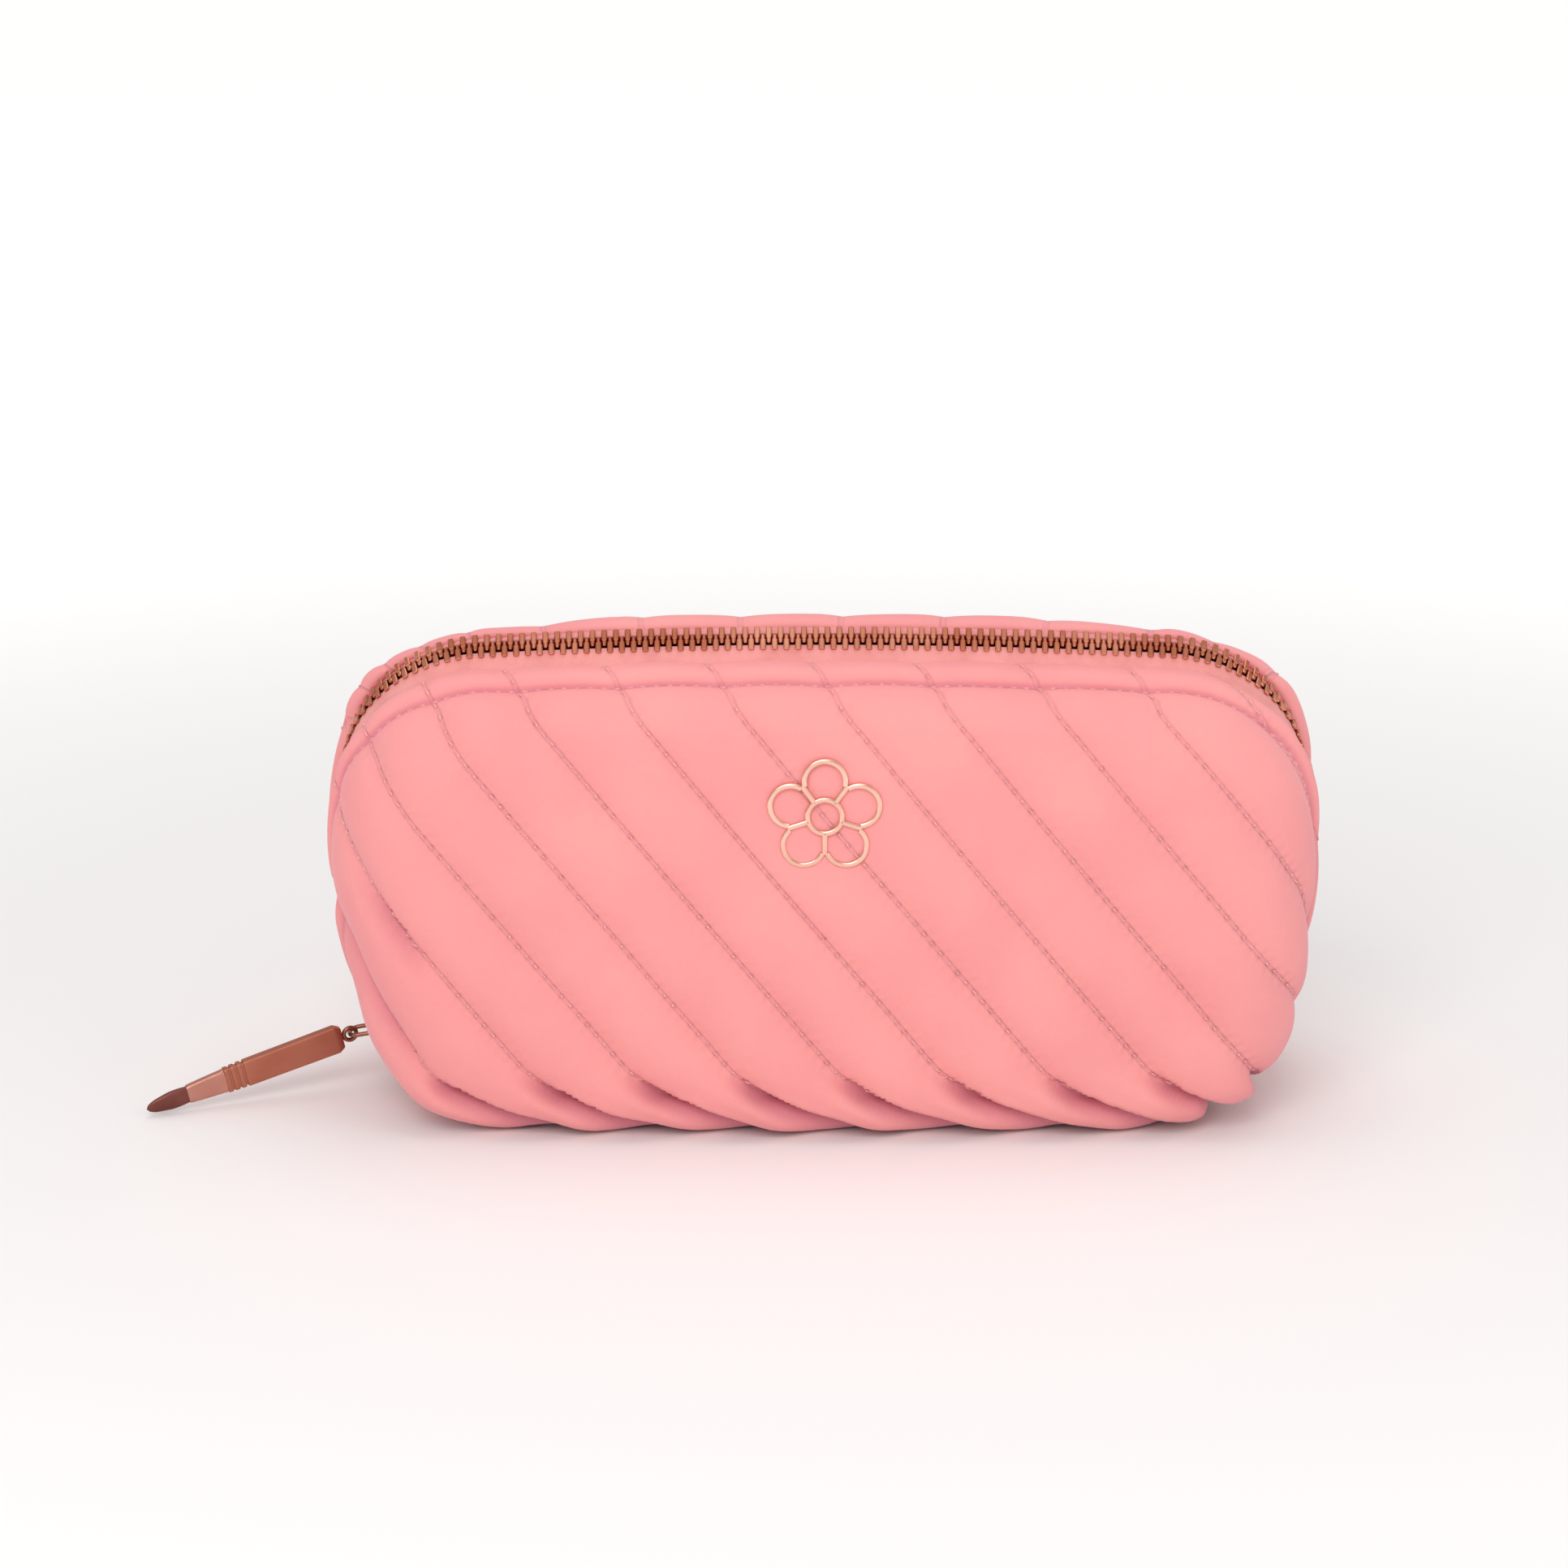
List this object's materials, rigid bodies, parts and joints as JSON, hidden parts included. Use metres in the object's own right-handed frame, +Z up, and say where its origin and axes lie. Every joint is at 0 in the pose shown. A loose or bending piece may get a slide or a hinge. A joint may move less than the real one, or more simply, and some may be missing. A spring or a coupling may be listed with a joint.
{
  "type": "makeup bag",
  "caption": "Soft quilted makeup bag with a padded body, a metal zip over the top, a flat base, a front badge and a brush-shaped zip pull.",
  "frame": {"origin": "middle of the flat base, on the surface that the bag stands on", "axes": "+X to the right along the bag's length, +Y to the back, +Z up; the badge faces -Y"},
  "size_m": [0.2551, 0.0724, 0.1114],
  "materials": {
    "velvet": "matte velvet, quilted",
    "wadding": "white polyester wadding",
    "lining": "smooth woven lining",
    "tape": "herringbone zip tape",
    "teeth": "copper plated, polished",
    "slider": "copper plated, satin",
    "link": "dark copper plated",
    "handle": "brushed copper plated",
    "ferrule": "satin rose gold plated",
    "brush_tip": "dark brown enamel",
    "badge": "pale rose gold plated",
    "washer": "plain"
  },
  "bodies": {
    "back_half": {"back_cover": "velvet", "back_wadding": "wadding", "back_lining": "lining", "base_cover": "velvet", "base_wadding": "wadding", "base_lining": "lining", "zip_tape_back": "tape", "zip_teeth_back": "teeth", "zip_top_stop_back": "teeth", "zip_bottom_stop": "teeth"},
    "front_half": {"front_cover": "velvet", "front_wadding": "wadding", "front_lining": "lining", "zip_tape_front": "tape", "zip_teeth_front": "teeth", "zip_top_stop_front": "teeth", "emblem": "badge", "emblem_washer": "washer"},
    "slider": {"slider_body": "slider", "slider_bail": "slider"},
    "pull_link": {"pull_ring": "link"},
    "pull": {"pull_eye": "link", "pull_handle": "handle", "pull_ferrule": "ferrule", "pull_tip": "brush_tip"}
  },
  "joints": [
    {"name": "mouth_open", "type": "hinge", "parent": "back_half", "child": "front_half", "pos_m": [0, -0.0345, 0.0018], "axis": [1, 0, 0], "range_deg": [0, 25], "deforming": ["zip_tape_front", "zip_teeth_front", "zip_top_stop_front"]},
    {"name": "slider_travel", "type": "hinge", "parent": "back_half", "child": "slider", "pos_m": [-0.00533, -0.00707, 0.05729], "axis": [0, 0.9877, 0.1564], "range_deg": [0, 30], "deforming": ["zip_teeth_back"]},
    {"name": "pull_link_swing", "type": "hinge", "parent": "slider", "child": "pull_link", "pos_m": [-0.09934, -0.00018, 0.01378], "axis": [0, -0.9877, -0.1564], "range_deg": [-50, 50]},
    {"name": "pull_swing", "type": "hinge", "parent": "pull_link", "child": "pull", "pos_m": [-0.10367, -0.00006, 0.01299], "axis": [-0.1812, -0.1538, 0.9713], "range_deg": [-50, 30]}
  ]
}
